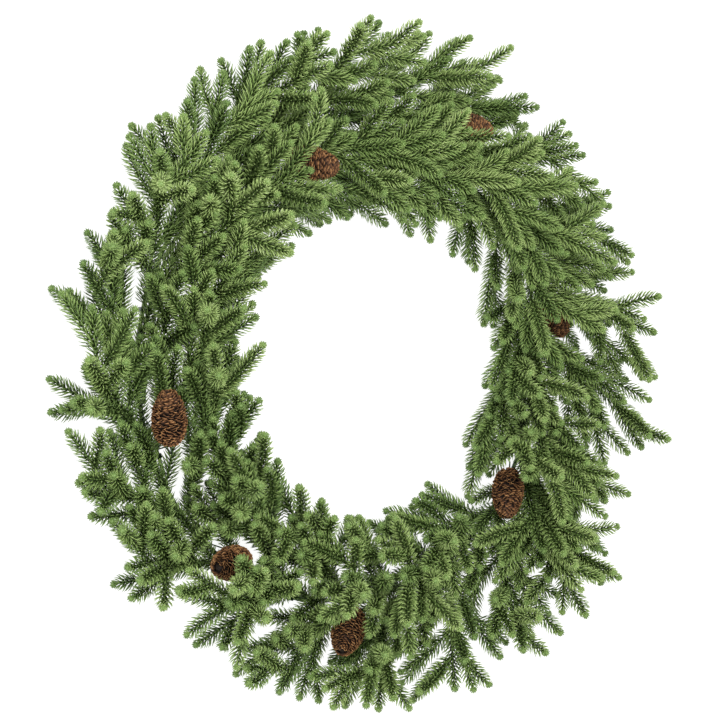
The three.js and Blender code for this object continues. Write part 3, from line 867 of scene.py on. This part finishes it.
needle_green = spruce_green("spruce_needles")
needle_shape = shape_of("spruce_needle", spruce_needle)
for index, spray in enumerate(sprays):
    whole = bmesh.new()
    whole.verts.layers.float.new("reach")
    whole.verts.layers.float.new("tint")
    tail = spray["gripped"] - spray["place"]["along"] * STEM_TAIL
    stem_line = smooth_line([tail, spray["gripped"], *spray["stem"]])
    lines = [(stem_line, STEM_TAIL + STEM_LEAD + BARE_FOOT, STEM_RADIUS)]
    for start, end in spray["sides"] + spray["twiglets"]:
        u, v = across(unit(end - start))
        bow = u * chance.uniform(-BOW, BOW) + v * chance.uniform(-BOW, BOW) / 2
        lines.append((smooth_line([start, (start + end) / 2 + bow, end]), BARE_FOOT, TWIG_RADIUS))
    for curve, bare, thick in lines:
        curve[:, 2] = np.maximum(curve[:, 2], TWIG_LOW)
        # Painted light and shade by height: a shoot higher up is painted paler and a lower one darker, on top
        # of a random tone.
        height = curve[:, 2].mean()
        tone = PAINTED_LIGHT_RISE * (height - PAINTED_LIGHT_HEIGHT) + chance.uniform(-TONE_CHANCE, TONE_CHANCE)
        twig(whole, curve, thick)
        needled(whole, curve, bare, tone)
        budded(whole, curve, tone)
    node = f"spray_{index + 1:02d}"
    finished(f"{node}_needled", whole, needle_green, "spruce", node)

# --- Floor, light and camera ------------------------------------------------------------------------------
# The wreath lies on a plain pale floor in the even light of a product photograph. The camera looks down on it
# from its left, 33 degrees off its axis, and is level with its middle.

LOOK_AT = Vector((0, 0, 60))
LEAN = math.radians(33)
DISTANCE = 2200
MM_PER_PIXEL = 1.095  # at the point looked at
LOOK_PIXEL = (376, 366)  # where that point shows
FRAME_PIXELS = 720
FLOOR_DROP = 0.5  # under the ring's wire

floor_shape = bmesh.new()
bmesh.ops.create_grid(floor_shape, x_segments=1, y_segments=1, size=6)
floor_mesh = bpy.data.meshes.new("floor")
floor_shape.to_mesh(floor_mesh)
floor_shape.free()
floor_paint, _, floor_shader = finish_of("floor_paint", roughness=0.9)
floor_shader.inputs["Base Color"].default_value = (0.3, 0.3, 0.3, 1)
floor_shader.inputs["Emission Color"].default_value = (1, 1, 1, 1)
floor_shader.inputs["Emission Strength"].default_value = 0.95
floor_mesh.materials.append(floor_paint)
floor = bpy.data.objects.new("floor", floor_mesh)
floor.location.z = -FLOOR_DROP * MM
bpy.context.scene.collection.objects.link(floor)

sky = bpy.data.worlds.new("soft_white_room")
sky.use_nodes = True
background = sky.node_tree.nodes["Background"]
background.inputs["Color"].default_value = (1, 1, 1, 1)
background.inputs["Strength"].default_value = 0.75
bpy.context.scene.world = sky


def softbox(name, place, size, watts):
    light = bpy.data.lights.new(name, "AREA")
    light.size = size
    light.energy = watts
    lamp = bpy.data.objects.new(name, light)
    lamp.location = place
    lamp.rotation_euler = (-Vector(place)).to_track_quat("-Z", "Y").to_euler()
    bpy.context.scene.collection.objects.link(lamp)


softbox("overhead_softbox", place=(-0.6, 0.7, 2.6), size=1.3, watts=54)
softbox("camera_side_softbox", place=(-2.2, -0.6, 1.8), size=1.4, watts=20)

away = Vector((-math.sin(LEAN), 0, math.cos(LEAN)))
right = Vector((math.cos(LEAN), 0, math.sin(LEAN)))
up = Vector((0, 1, 0))
off_right = (LOOK_PIXEL[0] - FRAME_PIXELS / 2) * MM_PER_PIXEL
off_up = (FRAME_PIXELS / 2 - LOOK_PIXEL[1]) * MM_PER_PIXEL
camera = bpy.data.objects.new("camera", bpy.data.cameras.new("camera"))
camera.data.angle = 2 * math.atan(FRAME_PIXELS / 2 * MM_PER_PIXEL / DISTANCE)
camera.location = RING_MIDDLE + (LOOK_AT + away * DISTANCE - right * off_right - up * off_up) * MM
camera.rotation_euler = Matrix((right, up, away)).transposed().to_euler()
bpy.context.scene.collection.objects.link(camera)
bpy.context.scene.camera = camera
bpy.context.scene.view_settings.view_transform = "Standard"
